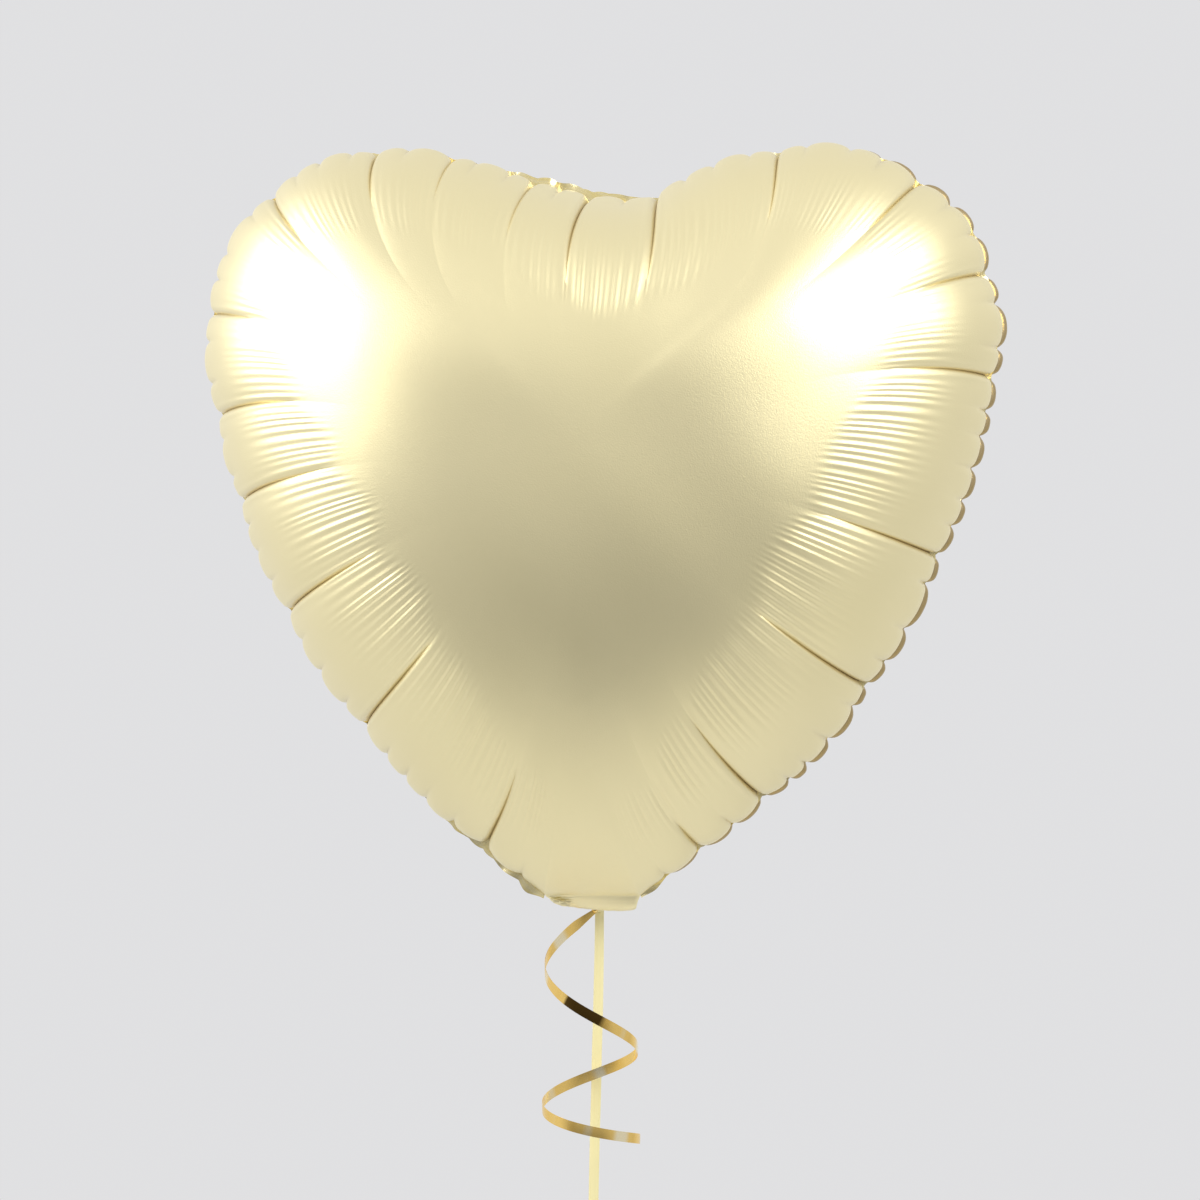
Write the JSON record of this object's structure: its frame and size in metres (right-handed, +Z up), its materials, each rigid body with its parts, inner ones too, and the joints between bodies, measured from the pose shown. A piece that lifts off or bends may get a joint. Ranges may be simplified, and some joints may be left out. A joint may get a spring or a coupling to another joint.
{
  "type": "heart-shaped foil balloon",
  "caption": "Inflated heart-shaped foil balloon in satin pale yellow, its neck tied with a straight ribbon and a curled metallic gold one.",
  "frame": {"origin": "centre of the ribbon wraps that tie the gathered filling neck, behind and just below the heart's tip", "axes": "+Z up towards the lobes, -Y is the front, +X to the right of a person facing the front"},
  "size_m": [0.4056, 0.19, 0.5791],
  "materials": {
    "foil": "satin",
    "bare_foil": "gloss",
    "clear_film": "gloss",
    "lemon_ribbon": "satin",
    "gold_ribbon": "gloss"
  },
  "bodies": {
    "envelope": {"front_panel": "foil", "back_panel": "foil", "seal_border": "bare_foil", "neck_front": "foil", "neck_back": "foil", "valve_front": "clear_film", "valve_back": "clear_film"},
    "tail": {"tail_end": "foil"},
    "tie": {"neck_tie": "lemon_ribbon", "curl_tie": "gold_ribbon"},
    "ribbon": {"straight_ribbon": "lemon_ribbon", "loop_knot": "lemon_ribbon", "ribbon_loop": "lemon_ribbon"},
    "curl": {"curled_ribbon": "gold_ribbon"}
  },
  "joints": [
    {"name": "tie_turn", "type": "hinge", "parent": "envelope", "child": "tie", "pos_m": [0, 0, 0], "axis": [0, 1, 0], "range_deg": [-25, 25]},
    {"name": "ribbon_swing", "type": "hinge", "parent": "tie", "child": "ribbon", "pos_m": [0, 0, -0.0052], "axis": [1, 0, 0], "range_deg": [-4, 30]},
    {"name": "curl_turn", "type": "hinge", "parent": "ribbon", "child": "curl", "pos_m": [0, 0, -0.0052], "axis": [0, 0, 1], "range_deg": [-40, 40]},
    {"name": "tail_flap", "type": "hinge", "parent": "envelope", "child": "tail", "pos_m": [0, 0.0062, 0], "axis": [1, 0, 0], "range_deg": [-25, 25], "stiffness_Nm_per_rad": 0.01}
  ]
}
